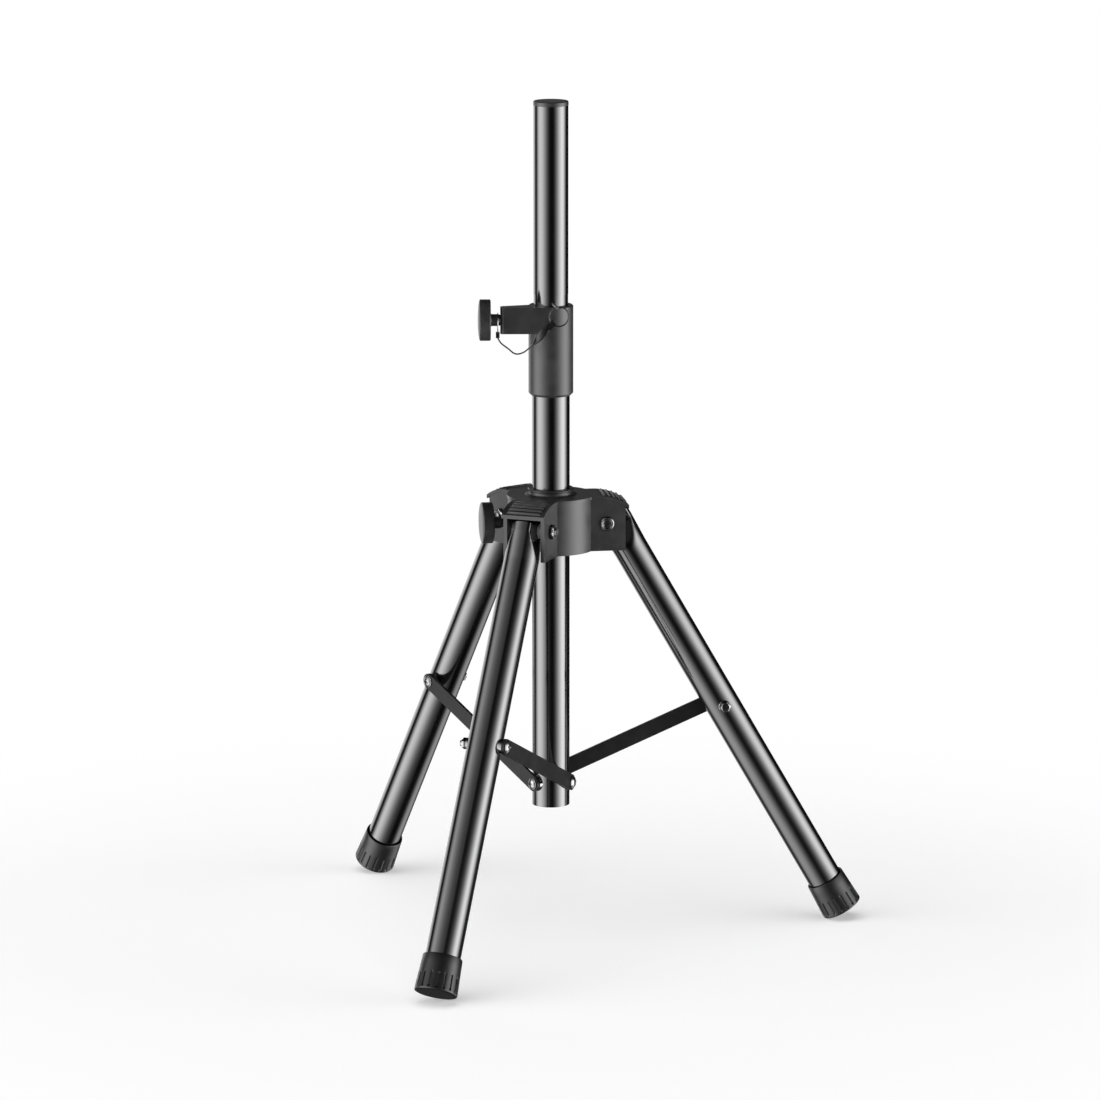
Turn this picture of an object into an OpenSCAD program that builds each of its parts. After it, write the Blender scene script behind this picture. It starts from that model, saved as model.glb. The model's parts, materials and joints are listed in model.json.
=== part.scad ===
// Speaker tripod stand. +Z is up, the origin is on the pole's axis at floor level.
// Leg 1 points along +X, and both clamp knobs point towards -X.

/* [Legs] */
// Length of a leg from its hinge bolt to the sole of its foot
leg_len = 484; // [380:5:600]
// Lean of a leg away from upright
leg_lean = 30; // [22:1:36]
// Diameter of a leg tube
leg_d = 35; // [28:1:40]
// Wall of a leg tube
leg_wall = 1.5; // [1:0.1:2.5]
// Distance of a leg's hinge bolt outside the hub's outer wall
hinge_out = 10.5; // [8:0.5:16]
// Distance of a leg's centre line outside its hinge bolt
leg_offset = 9; // [6:0.5:10]
// Thickness of a leg's pressed end, at its hinge bolt
pinch_w = 18; // [14:1:22]
// Length over which the pressed end widens into the round tube
flare_len = 46; // [30:1:60]

/* [Feet] */
// Length of a rubber foot
foot_len = 37; // [28:1:48]
// Thickness of a foot's wall at its sole
foot_sole_wall = 4; // [2.5:0.5:8]
// Thickness of a foot's wall at its upper rim
foot_rim_wall = 2.25; // [1.75:0.25:6]
// Number of grip grooves round a foot
foot_grooves = 18; // [8:1:24]

/* [Braces] */
// Distance along a leg from its hinge bolt to its brace
brace_at = 229; // [160:1:290]
// Width of a brace bar
brace_w = 16; // [12:1:20]
// Thickness of a brace bar
brace_t = 3; // [2:0.5:5]
// Thickness of the spacer under a brace bar, where it meets the leg
brace_gap = 2.7; // [2:0.1:6]
// Diameter of the brace bolts
brace_bolt_d = 6; // [5:1:8]

/* [Main tube] */
// Wall of the main tube
tube_wall = 1.2; // [1:0.1:1.4]
// Height of the main tube's lower end above the floor
tube_rise = 132; // [90:1:160]
// Height of the lower brace pivots above the main tube's end
pivot_rise = 24; // [16:1:32]
// Free length of main tube between the hub and the clamp collar
hub_travel = 95; // [60:1:160]

/* [Pole] */
// Diameter of the pole where a loudspeaker sits on it
pole_d = 35; // [28:0.5:42]
// Wall of the pole
pole_wall = 1.5; // [1:0.1:2.5]
// Height of the pole's top above the clamp collar
pole_show = 205; // [120:5:300]
// How much thinner the sliding stretch of the pole is, in diameter
run_relief = 0.4; // [0.4:0.1:0.8]
// Distance between the safety pin's holes
hole_pitch = 50; // [30:1:60]
// Number of holes for the safety pin
hole_count = 7; // [2:1:8]
// Thickness of the pole cap's rim
cap_rim = 4.5; // [3:0.5:8]

/* [Clamp collar] */
// Wall of the clamp collar's sleeve
collar_wall = 3.5; // [2.5:0.5:7]
// Height of the clamp collar
collar_len = 91.5; // [70:0.5:120]
// Reach of the knob block beyond the sleeve
block_out = 28.5; // [24:0.5:36]
// Height of the knob block
block_h = 26.5; // [20:0.5:34]
// Depth of the knob block beyond its insert nut, on each side
block_side = 0.35; // [0.25:0.05:2]
// Turn of the clamp collar about the pole
collar_turn = -7; // [-20:1:20]

/* [Hub] */
// Room between the main tube and the hub's outer wall between the arms
hub_room = 24.5; // [22:0.5:32]
// Thickness of a cheek
cheek_t = 4; // [3:0.5:4]
// Room over a leg's end, under the deck
top_room = 3; // [2:0.5:6]
// Thickness of the deck and of the arm roofs
deck_t = 3; // [2:0.5:3.5]
// Drop of an arm's roof at its end
roof_drop = 9.5; // [6:0.5:11]
// Wall of the ring on top of the hub
ring_wall = 2.7; // [2:0.1:6]
// Height of the ring above the deck
ring_h = 6.5; // [4:0.5:12]
// Diameter of the leg hinge bolts
hinge_bolt_d = 8; // [6:1:10]

/* [Knobs] */
// Diameter of a clamp knob
knob_d = 41.5; // [34:0.5:48]
// Thickness of a clamp knob
knob_t = 13; // [9:0.5:18]
// Diameter of the clamp screws
screw_d = 8; // [6:1:9]

/* [Safety pin] */
// Diameter of the safety pin
pin_d = 4; // [3:0.5:6]
// Length of the safety pin outside the pole
pin_out = 24; // [20:1:30]
// Diameter of the pull ring
pull_ring_d = 21; // [16:1:26]
// Diameter of the ring's wire
ring_wire_d = 1.4; // [1:0.1:2]

/* [Hidden] */

$fn = 64;
eps = 0.01;
run_gap = 0.05;   // radial play of a turning or threaded fit
slide_gap = 0.3;  // play between sliding pieces
side_gap = 0.3;   // play beside a turning bar

leg_side_gap = 0.5; // play between a leg and a cheek
tube_play = 0.5;  // radial play of the pole in the main tube

// Pole, main tube and the sleeves on it
pole_r = pole_d / 2;
run_r = pole_r - run_relief / 2;
tube_r = run_r + tube_play + tube_wall;
collar_r = tube_r + collar_wall;
hub_bore_r = tube_r + slide_gap;
hub_r = tube_r + hub_room;

// Legs, seen in the plane of one leg: x is the distance from the axis
leg_r = leg_d / 2;
leg_top_r = leg_r + 4.5;   // the leg's end is rounded about the hinge bolt
foot_sole_r = leg_r + foot_sole_wall;
hinge_reach = hub_r + hinge_out;
hinge_z = leg_len * cos(leg_lean) + (foot_sole_r - leg_offset) * sin(leg_lean);
brace_x = hinge_reach + brace_at * sin(leg_lean) + leg_offset * cos(leg_lean);
brace_z = hinge_z - brace_at * cos(leg_lean) + leg_offset * sin(leg_lean);

// Braces
pivot_z = tube_rise + pivot_rise;
brace_len = norm([brace_x, brace_z - pivot_z]);
brace_rise = atan2(brace_z - pivot_z, brace_x);

// Hub: each arm's channel clears its leg, below a deck that clears the leg's end
channel_w = leg_d + 2 * leg_side_gap;
arm_w = channel_w + 2 * cheek_t;
arm_reach = hinge_reach + leg_top_r + leg_side_gap;
hub_h = 2 * (leg_top_r + top_room + deck_t);
deck_z = hinge_z + hub_h / 2;
hub_low_z = deck_z - hub_h;
ring_top_z = deck_z + ring_h;
roof_start = hub_r + 2.5;
roof_run = arm_reach - roof_start;
roof_r = (roof_run * roof_run + roof_drop * roof_drop) / (2 * roof_drop);

// Brace bars lie beside the legs and the main tube
spacer_y = max(leg_r + brace_gap, tube_r + 1.2);
bar_y = spacer_y + side_gap;
bar_end_y = bar_y + brace_t;
bolt_r = brace_bolt_d / 2;
screw_head_d = 2.1 * brace_bolt_d;
screw_head_t = 3.4;
nut_flats = 1.7 * brace_bolt_d;
nut_t = 5.5;
nut_seat = 1.2;

// Clamp collar and pole
collar_low_z = ring_top_z + hub_travel;
collar_top_z = collar_low_z + collar_len;
block_low_z = collar_top_z - block_h;
tube_top_z = block_low_z - 3;
pole_top_z = collar_top_z + pole_show;
pole_under_cap_z = pole_top_z - cap_rim;
plug_len = 40;
pole_low_z = tube_rise + plug_len + 22;
pin_z = collar_top_z + pin_d / 2 + 1;
seat_low_z = pin_z + pin_d / 2 + 6;

// Clamp screws
screw_r = screw_d / 2;
insert_len = 8;
insert_flats = 1.6 * screw_d;
block_end_w = insert_flats + 2 * block_side;
block_reach = collar_r + block_out;
neck_d = block_end_w - 1.5;
collar_axis_y = -collar_r + block_end_w / 2 + 0.75;
collar_axis_z = collar_top_z - block_h / 2;
hub_axis_z = hinge_z;
neck_len = 8;
taper_len = 3.5;
shoe_r = screw_r + 0.9;
collar_knob_x = block_reach + taper_len + neck_len - 2;
hub_knob_x = hub_r + 4.5 + taper_len + neck_len;
collar_shoe_x = block_reach - insert_len - 10;
hub_shoe_x = tube_r + slide_gap + 8;

// Safety pin, ring and lanyard
pin_in = pole_r + 1.2;
ring_wire_r = ring_wire_d / 2;
pull_ring_r = (pull_ring_d - ring_wire_d) / 2;
ring_y = -(pole_r + pin_out - 2.5);
ring_turn = -15;  // the ring hangs a little aside from straight down
strap_d = 3;
strap_lean = 49;  // lean of the ring's crimp from straight down
loop_wire_d = 1;
loop_r = neck_d / 2 + 4;
loop_x = -(collar_knob_x - neck_len + 1);
loop_top = neck_d / 2 + loop_wire_d / 2 + 0.4;
crimp_size = [5.5, 3.6, 8];
loop_crimp_len = 5;
loop_low = [
    loop_x * cos(collar_turn) - collar_axis_y * sin(collar_turn),
    loop_x * sin(collar_turn) + collar_axis_y * cos(collar_turn),
    collar_axis_z + loop_top - 2 * loop_r
];

// The strap's route, from the ring's crimp to the loop's crimp, beside the clamp collar
strap_from = [-8.2, ring_y, pin_z - 20.6];
strap_to = loop_low - [0, 0, loop_crimp_len];
strap_route = [
    strap_from,
    strap_from + [-5, 0.5, -5],
    strap_from + [-11, 3, -12.5],
    strap_from + [-17.5, 6.5, -20],
    strap_from + [-24, 11, -26],
    strap_from + [-31, 17, -28],
    strap_to + [9, -8, -9.5],
    strap_to + [3, -2.5, -5],
    strap_to
];

// Helpers
module along_x(len, r, from = 0) {
    translate([from, 0, 0]) rotate([0, 90, 0]) cylinder(h = len, r = r);
}

module along_y(len, r, from = 0) {
    translate([0, from, 0]) rotate([-90, 0, 0]) cylinder(h = len, r = r);
}

// Places its children in the frame of one arm: +X outwards, +Y to the left of it
module arm_frame(n) {
    rotate([0, 0, 120 * (n - 1)]) children();
}

// Places its children on one leg: the origin is its hinge bolt, -Z runs down the leg
module leg_frame(n) {
    arm_frame(n) translate([hinge_reach, 0, hinge_z]) rotate([0, -leg_lean, 0]) children();
}

// Places its children at a leg's brace bolt, still along the leg
module brace_bolt_frame(n) {
    leg_frame(n) translate([leg_offset, 0, -brace_at]) children();
}

// Places its children at a brace's lower pivot, with +X along the bar
module bar_frame(n) {
    arm_frame(n) translate([0, 0, pivot_z]) rotate([0, -brace_rise, 0]) children();
}

// Places its children on the clamp collar's screw, with -X towards the knob
module collar_screw_frame() {
    rotate([0, 0, collar_turn]) translate([0, collar_axis_y, collar_axis_z]) children();
}

module hub_screw_frame() {
    translate([0, 0, hub_axis_z]) children();
}

module hex(flats, len) {
    cylinder(h = len, r = flats / sqrt(3), $fn = 6);
}

// A domed screw head on the plane z = 0 with a cross recess
module dome_head(d, t) {
    ball_r = (d * d / 4 + t * t) / (2 * t);
    slot = [0.62 * d, 0.16 * d, t];
    difference() {
        intersection() {
            translate([0, 0, t - ball_r]) sphere(r = ball_r, $fn = 96);
            cylinder(h = t, r = d / 2);
        }
        translate([0, 0, 1.35 * t]) cube(slot, center = true);
        translate([0, 0, 1.35 * t]) rotate([0, 0, 90]) cube(slot, center = true);
    }
}

// A ring of round wire, hanging in the XZ plane below the origin
module wire_ring(r, wire_r) {
    translate([0, 0, -r]) rotate([90, 0, 0]) rotate_extrude() translate([r, 0]) circle(r = wire_r, $fn = 24);
}

// Main tube
module main_tube() {
    color("#1b1b1d") difference() {
        translate([0, 0, tube_rise]) cylinder(h = tube_top_z - tube_rise, r = tube_r);
        translate([0, 0, tube_rise - 1]) cylinder(h = tube_top_z - tube_rise + 2, r = tube_r - tube_wall);
        for (n = [1:3])
            arm_frame(n) translate([0, 0, pivot_z]) along_y(tube_r + 1, bolt_r);
    }
}

module tube_plug() {
    plug_r = tube_r - tube_wall;
    color("#202022") difference() {
        translate([0, 0, tube_rise]) cylinder(h = plug_len, r = plug_r);
        translate([0, 0, tube_rise + 3]) cylinder(h = plug_len, r = plug_r - 8);
        translate([0, 0, tube_rise - 1]) cylinder(h = plug_len, r = 4);
        for (n = [1:3])
            arm_frame(n) translate([0, 0, pivot_z]) along_y(tube_r, bolt_r);
    }
}

// Lower brace pivots
module pivot_screws() {
    shank_from = tube_r - tube_wall - 7;
    head_y = bar_end_y + side_gap;
    color("#8c8e91") for (n = [1:3])
        arm_frame(n) translate([0, 0, pivot_z]) {
            along_y(head_y - shank_from + eps, bolt_r, shank_from);
            translate([0, head_y, 0]) rotate([-90, 0, 0]) dome_head(screw_head_d, screw_head_t);
        }
}

module pivot_spacers() {
    color("#a3a5a8") for (n = [1:3])
        arm_frame(n) difference() {
            translate([0, 0, pivot_z]) along_y(spacer_y - tube_r + 5, brace_w / 2 + 0.5, tube_r - 5);
            translate([0, 0, pivot_z]) along_y(bar_y, bolt_r, 1);
            translate([0, 0, pivot_z - 20]) cylinder(h = 40, r = tube_r);
        }
}

// Clamp collar: a sleeve on the main tube's upper end with a block for the knob's screw
module block_plan() {
    front = -collar_r;
    back = front + block_end_w;
    round_r = 4;
    hull() {
        translate([-block_reach + round_r, front + round_r]) circle(r = round_r, $fn = 32);
        translate([-block_reach + round_r, back - round_r]) circle(r = round_r, $fn = 32);
        translate([-collar_r + 4, -4]) circle(r = 4, $fn = 32);
        translate([-eps, front]) square([eps, 4]);
    }
}

module block_bores() {
    bore_end = 5.4;  // just beyond the shoe's tip, short of the sleeve's far wall
    along_x(block_reach - insert_len - 6 - bore_end, shoe_r + 0.15, -block_reach + insert_len + 6);
    along_x(20, neck_d / 2 + 0.5, -block_reach - 18);
    along_x(block_reach, screw_r + 0.6, -block_reach);
    translate([-block_reach + 5, 0, 0]) rotate([0, 90, 0]) hex(insert_flats, insert_len);
}

module collar_sleeve() {
    edge = 2.5;
    translate([0, 0, collar_low_z]) cylinder(h = edge, r1 = collar_r - edge, r2 = collar_r);
    translate([0, 0, collar_low_z + edge]) cylinder(h = collar_len - edge - 1, r = collar_r);
    translate([0, 0, collar_top_z - 1]) cylinder(h = 1, r1 = collar_r, r2 = collar_r - 1);
}

module clamp_collar() {
    color("#2b2b2d") difference() {
        union() {
            collar_sleeve();
            rotate([0, 0, collar_turn]) translate([0, 0, block_low_z]) linear_extrude(block_h) block_plan();
        }
        translate([0, 0, collar_low_z - 1]) cylinder(h = tube_top_z - collar_low_z + 1, r = tube_r);
        translate([0, 0, tube_top_z - 1]) cylinder(h = collar_top_z, r = run_r + slide_gap);
        difference() {
            collar_screw_frame() block_bores();
            translate([0, 0, block_low_z]) cylinder(h = block_h, r = run_r);
        }
    }
}

module insert_nut(x) {
    rotate([0, 90, 0]) translate([0, 0, x]) difference() {
        hex(insert_flats, insert_len);
        translate([0, 0, -1]) cylinder(h = insert_len + 2, r = screw_r + run_gap);
    }
}

module collar_insert_nut() {
    color("#b08a4a") collar_screw_frame() insert_nut(-block_reach + 5);
}

module collar_shoe() {
    len = collar_shoe_x - 6;
    color("#3a3a3a") difference() {
        collar_screw_frame() along_x(len, shoe_r, -collar_shoe_x);
        cylinder(h = pole_top_z, r = run_r + slide_gap);
    }
}

// A screw from its tip at -x towards the knob
module clamp_screw(tip_x, knob_x) {
    along_x(knob_x - tip_x + 6, screw_r, -knob_x - 6);
}

// A knob with its neck, where x is the distance of the disc's inner face
module clamp_knob(x) {
    round_r = 1.2;
    difference() {
        union() {
            along_x(knob_t - 2 * round_r, knob_d / 2, -x - knob_t + round_r);
            translate([-x - round_r, 0, 0]) rotate([0, 90, 0]) cylinder(h = round_r, r1 = knob_d / 2, r2 = knob_d / 2 - round_r);
            translate([-x - knob_t, 0, 0]) rotate([0, 90, 0])
                cylinder(h = round_r, r1 = knob_d / 2 - round_r, r2 = knob_d / 2);
            along_x(neck_len + 1, neck_d / 2, -x - 1);
            translate([-x + neck_len, 0, 0]) rotate([0, 90, 0])
                cylinder(h = taper_len, r1 = neck_d / 2, r2 = screw_r + 0.4);
        }
        along_x(x + 10, screw_r, -x - 6);
    }
}

module collar_screw() {
    color("#8c8e91") collar_screw_frame() clamp_screw(collar_shoe_x, collar_knob_x);
}

module collar_knob() {
    color("#2b2b2d") collar_screw_frame() clamp_knob(collar_knob_x);
}

// Pole
module pole_tube() {
    color("#1b1b1d") difference() {
        union() {
            translate([0, 0, pole_low_z]) cylinder(h = seat_low_z - pole_low_z, r = run_r);
            translate([0, 0, seat_low_z]) cylinder(h = pole_under_cap_z - seat_low_z, r = pole_r);
        }
        translate([0, 0, pole_low_z - 1]) cylinder(h = pole_top_z, r = run_r - pole_wall);
        for (i = [0:hole_count - 1])
            translate([0, 0, pin_z - i * hole_pitch]) along_y(pole_d + 4, pin_d / 2 + slide_gap, -pole_r - 2);
    }
}

module pole_cap() {
    edge = 0.8;
    color("#202022") {
        translate([0, 0, pole_under_cap_z]) cylinder(h = cap_rim - edge, r = pole_r + 0.2);
        translate([0, 0, pole_top_z - edge]) cylinder(h = edge, r1 = pole_r + 0.2, r2 = pole_r + 0.2 - edge);
        translate([0, 0, pole_under_cap_z - 14]) cylinder(h = 14 + eps, r = run_r - pole_wall);
    }
}

module pole_bush() {
    color("#202022") difference() {
        union() {
            translate([0, 0, pole_low_z - 12]) cylinder(h = 12, r = tube_r - tube_wall - slide_gap / 2);
            translate([0, 0, pole_low_z - eps]) cylinder(h = 16, r = run_r - pole_wall);
        }
        translate([0, 0, pole_low_z - 13]) cylinder(h = 30, r = run_r - pole_wall - 3);
    }
}

// Safety pin with its ring
module safety_pin() {
    tip = 1.2;
    color("#c9cbcd") difference() {
        translate([0, 0, pin_z]) {
            along_y(pole_r + pin_out + pin_in - tip, pin_d / 2, -pole_r - pin_out);
            translate([0, pin_in - tip, 0]) rotate([-90, 0, 0]) cylinder(h = tip, r1 = pin_d / 2, r2 = pin_d / 2 - 1);
        }
        translate([0, ring_y, pin_z]) rotate([0, ring_turn, 0])
            along_x(pin_d + 2, ring_wire_r + 0.55, -pin_d / 2 - 1);
    }
}

module pull_ring() {
    color("#c9cbcd") translate([0, ring_y, pin_z]) rotate([0, ring_turn, 0]) wire_ring(pull_ring_r, ring_wire_r);
}

// Frame of the crimp on the pull ring, with -Z towards the strap
module ring_crimp_frame() {
    translate(strap_from) rotate([0, strap_lean, 0]) children();
}

module ring_crimp() {
    color("#161616") difference() {
        ring_crimp_frame() translate([-crimp_size[0] / 2, -crimp_size[1] / 2, 0]) cube(crimp_size);
        pull_ring();
    }
}

module lanyard_loop() {
    color("#c9cbcd") collar_screw_frame() translate([loop_x, 0, loop_top]) rotate([0, 0, 90])
        wire_ring(loop_r, loop_wire_d / 2);
}

module lanyard_crimp() {
    color("#161616") difference() {
        translate(strap_to) cylinder(h = loop_crimp_len + 1, r = 1.9);
        lanyard_loop();
    }
}

// The strap as a plain round cord: a ring of points round each step of a smooth route
function blend_point(p, t) =
    let (n = len(p) - 1, i = min(floor(t), n - 1), u = t - i,
         a = p[max(i - 1, 0)], b = p[i], c = p[i + 1], d = p[min(i + 2, n)])
    0.5 * (2 * b + (c - a) * u + (2 * a - 5 * b + 4 * c - d) * u * u + (3 * b - a - 3 * c + d) * u * u * u);

function unit(v) = v / norm(v);

module lanyard() {
    sides = 8;
    steps = 20;
    last = len(strap_route) - 1;
    path = [for (k = [0:steps]) blend_point(strap_route, last * k / steps)];
    rings = [
        for (k = [0:steps])
            let (
                ahead = k == 0 ? [-sin(strap_lean), 0, -cos(strap_lean)] : k == steps ? [0, 0, 1] : unit(path[k + 1] - path[k - 1]),
                side = unit(cross(ahead, [0, 1, 0])),
                up = cross(side, ahead)
            )
            for (m = [0:sides - 1])
                path[k] + strap_d / 2 * (cos(360 * m / sides) * side + sin(360 * m / sides) * up)
    ];
    walls = [
        for (k = [0:steps - 1], m = [0:sides - 1])
            let (next = (m + 1) % sides)
            [k * sides + m, k * sides + next, (k + 1) * sides + next, (k + 1) * sides + m]
    ];
    start = [for (m = [sides - 1:-1:0]) m];
    end = [for (m = [0:sides - 1]) steps * sides + m];
    color("#111111") polyhedron(rings, concat([start], walls, [end]));
}

// Hub
module roof_volume(grow, wide) {
    intersection() {
        translate([roof_start, 0, deck_z - roof_r]) along_y(wide, roof_r + grow, -wide / 2);
        translate([roof_start - eps, -wide / 2, hub_low_z]) cube([roof_run + eps, wide, hub_h]);
    }
    translate([0, -wide / 2, hub_low_z]) cube([roof_start, wide, hub_h + grow]);
}

module arm_shell() {
    roof_w = arm_w + 1.6;
    rib_r = 1.5;
    ribs = 5;
    difference() {
        roof_volume(0, roof_w);
        roof_volume(-deck_t, roof_w + 2);
        translate([-1, -arm_w, hub_low_z - 1]) cube([hub_bore_r + 2, 2 * arm_w, hub_h + 2]);
        translate([arm_reach - 0.01, -arm_w, hub_low_z - 1]) cube([5, 2 * arm_w, hub_h + 2]);
    }
    for (side = [-1, 1])
        intersection() {
            roof_volume(-deck_t / 2, roof_w);
            translate([hub_bore_r + 1, side * (arm_w - cheek_t) / 2 - cheek_t / 2, hub_low_z])
                cube([arm_reach - 3.5 - hub_bore_r - 1, cheek_t, hub_h]);
        }
    intersection() {
        roof_volume(rib_r, channel_w);
        for (i = [0:ribs - 1]) {
            a = (8 + 6.2 * i) * 50 / roof_r;
            translate([roof_start + (roof_r - 0.6) * sin(a), 0, deck_z - roof_r + (roof_r - 0.6) * cos(a)])
                along_y(channel_w, rib_r, -channel_w / 2);
        }
    }
}

module hub_web() {
    skin_t = 3.5;
    difference() {
        translate([0, 0, hub_low_z]) cylinder(h = hub_h, r = hub_r, $fn = 128);
        translate([0, 0, hub_low_z - 1]) cylinder(h = hub_h - deck_t + 1, r = hub_r - skin_t, $fn = 128);
        for (n = [1:3])
            arm_frame(n) translate([hub_bore_r + 3, -channel_w / 2, hub_low_z - 1])
                cube([2 * hub_r, channel_w, hub_h - deck_t + 1]);
    }
    translate([0, 0, deck_z - deck_t]) cylinder(h = deck_t, r = hub_r + 1, $fn = 128);
    translate([0, 0, hub_low_z]) cylinder(h = hub_h + ring_h, r = hub_bore_r + ring_wall);
    intersection() {
        hub_screw_frame() along_x(hub_r, insert_flats / 2 + 4, -hub_r);
        translate([0, 0, hub_low_z]) cylinder(h = hub_h, r = hub_r, $fn = 128);
    }
}

module hub_bores() {
    translate([0, 0, hub_low_z - 1]) cylinder(h = hub_h + ring_h + 2, r = hub_bore_r);
    hub_screw_frame() {
        along_x(2 * hub_r, screw_r + 0.6, -2 * hub_r);
        along_x(hub_shoe_x + 1, shoe_r + 0.15, -hub_shoe_x - 4);
        translate([-hub_r + 3, 0, 0]) rotate([0, 90, 0]) hex(insert_flats, insert_len);
        along_x(10, neck_d / 2 + 0.5, -hub_r - 8);
    }
    for (n = [1:3])
        arm_frame(n) translate([hinge_reach, 0, hinge_z]) {
            along_y(arm_w + 2, hinge_bolt_d / 2, -arm_w / 2 - 1);
            along_y(3, 0.95 * hinge_bolt_d, arm_w / 2 - 1.2);
        }
}

module hub_body() {
    color("#2b2b2d") difference() {
        union() {
            hub_web();
            for (n = [1:3])
                arm_frame(n) arm_shell();
        }
        hub_bores();
    }
}

module hub_insert_nut() {
    color("#b08a4a") hub_screw_frame() insert_nut(-hub_r + 3);
}

module hinge_bolts() {
    shank = arm_w / 2 + 6;
    head_t = 2.6;
    head_r = 0.9 * hinge_bolt_d;
    color("#8c8e91") for (n = [1:3])
        arm_frame(n) translate([hinge_reach, 0, hinge_z]) difference() {
            union() {
                along_y(arm_w / 2 + shank + eps, hinge_bolt_d / 2, -arm_w / 2 - eps);
                along_y(head_t - 0.8, head_r, -arm_w / 2 - head_t + 0.8);
                translate([0, -arm_w / 2 - head_t, 0]) rotate([-90, 0, 0])
                    cylinder(h = 0.8, r1 = head_r - 1.2, r2 = head_r);
            }
            translate([0, -arm_w / 2 - head_t - 1, 0]) rotate([-90, 0, 0]) hex(0.62 * hinge_bolt_d, 3);
        }
}

module hinge_nuts() {
    seat = arm_w / 2 - 1.2;
    color("#a3a5a8") for (n = [1:3])
        arm_frame(n) translate([hinge_reach, seat, hinge_z]) rotate([-90, 0, 0]) difference() {
            union() {
                hex(1.6 * hinge_bolt_d, 5);
                cylinder(h = 6.2, r = 0.66 * hinge_bolt_d);
            }
            translate([0, 0, -1]) cylinder(h = 9, r = hinge_bolt_d / 2);
        }
}

module hinge_bushes() {
    bush_len = (channel_w - pinch_w) / 2 - side_gap;
    color("#d8d8d4") for (n = [1:3], side = [0, 1])
        arm_frame(n) translate([hinge_reach, 0, hinge_z]) mirror([0, side, 0]) difference() {
            along_y(bush_len, 7.5, channel_w / 2 - bush_len);
            along_y(channel_w, hinge_bolt_d / 2, 1);
        }
}

module hub_shoe() {
    color("#3a3a3a") difference() {
        hub_screw_frame() along_x(hub_shoe_x - 6, shoe_r, -hub_shoe_x);
        cylinder(h = pole_top_z, r = tube_r + slide_gap);
    }
}

module hub_screw() {
    color("#8c8e91") hub_screw_frame() clamp_screw(hub_shoe_x, hub_knob_x);
}

module hub_knob() {
    color("#2b2b2d") hub_screw_frame() clamp_knob(hub_knob_x);
}

// Legs
module leg_outline(inset) {
    half = pinch_w / 2 - inset;
    wide = leg_r + 1;
    flare_end = -(12 + flare_len) - 0.5 * inset;
    polygon([
        [-half, 30], [-half, -12], [-wide, flare_end], [-wide, -leg_len],
        [wide, -leg_len], [wide, flare_end], [half, -12], [half, 30]
    ]);
}

module leg_volume(inset) {
    intersection() {
        translate([leg_offset, 0, -leg_len]) cylinder(h = leg_len + 30, r = leg_r - inset);
        rotate([90, 0, 90]) translate([0, 0, -60]) linear_extrude(120) leg_outline(inset);
    }
}

module leg_tube(n) {
    tube_end = 5;
    color("#1b1b1d") leg_frame(n) difference() {
        intersection() {
            leg_volume(0);
            union() {
                along_y(leg_d, leg_top_r, -leg_d / 2);
                translate([-leg_d, -leg_d, -leg_len + tube_end]) cube([3 * leg_d, 2 * leg_d, leg_len - tube_end]);
            }
        }
        leg_volume(leg_wall);
        along_y(leg_d, hinge_bolt_d / 2 + run_gap, -leg_d / 2);
        translate([leg_offset, 0, -brace_at]) along_y(leg_d + 2, bolt_r, -leg_d / 2 - 1);
    }
}

module leg_foot(n) {
    floor_t = 5;
    rim_len = 6;
    groove_len = 0.42 * foot_len;
    groove_w = 1.8;
    groove_deep = 0.9;
    color("#1d1d1e") leg_frame(n) translate([leg_offset, 0, -leg_len]) difference() {
        union() {
            cylinder(h = 1.2, r1 = foot_sole_r - 1.2, r2 = foot_sole_r);
            translate([0, 0, 1.2]) cylinder(h = foot_len - 1.2, r1 = foot_sole_r, r2 = leg_r + foot_rim_wall);
        }
        translate([0, 0, floor_t]) cylinder(h = foot_len, r = leg_r);
        translate([0, 0, foot_len - rim_len]) cylinder(h = rim_len + 1, r = leg_r + 0.9);
        for (i = [0:foot_grooves - 1])
            rotate([0, 0, 360 * i / foot_grooves]) translate([foot_sole_r - groove_deep, -groove_w / 2, 2.5])
                cube([foot_len, groove_w, groove_len]);
    }
}

// The bolt through a leg ends at the spacer, and its head turns with the brace bar
module brace_bolt(n) {
    far = leg_r + nut_seat + nut_t + 1.5;
    color("#8c8e91") brace_bolt_frame(n) along_y(far + spacer_y, bolt_r, -far);
}

module brace_nut(n) {
    color("#a3a5a8") brace_bolt_frame(n) difference() {
        union() {
            translate([0, -leg_r - nut_seat, 0]) rotate([90, 0, 0]) hex(nut_flats, nut_t - 1.2);
            along_y(nut_t, 0.4 * nut_flats, -leg_r - nut_seat - nut_t);
            along_y(nut_seat + 5, nut_flats / 2 + 1, -leg_r - nut_seat);
        }
        translate([0, 0, -30]) cylinder(h = 60, r = leg_r);
        along_y(leg_d, bolt_r, -leg_d);
    }
}

module brace_spacer(n) {
    color("#a3a5a8") brace_bolt_frame(n) difference() {
        along_y(spacer_y - leg_r + 6, brace_w / 2 - 0.5, leg_r - 6);
        translate([0, 0, -30]) cylinder(h = 60, r = leg_r);
        along_y(leg_d, bolt_r, 0);
    }
}

// Braces
module brace_bar(n) {
    color("#232325") bar_frame(n) difference() {
        union() {
            translate([0, bar_y, -brace_w / 2]) cube([brace_len, brace_t, brace_w]);
            along_y(brace_t, brace_w / 2, bar_y);
            translate([brace_len, 0, 0]) along_y(brace_t, brace_w / 2, bar_y);
        }
        along_y(brace_t + 2, bolt_r + run_gap, bar_y - 1);
        translate([brace_len, 0, 0]) along_y(brace_t + 2, bolt_r, bar_y - 1);
    }
}

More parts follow.
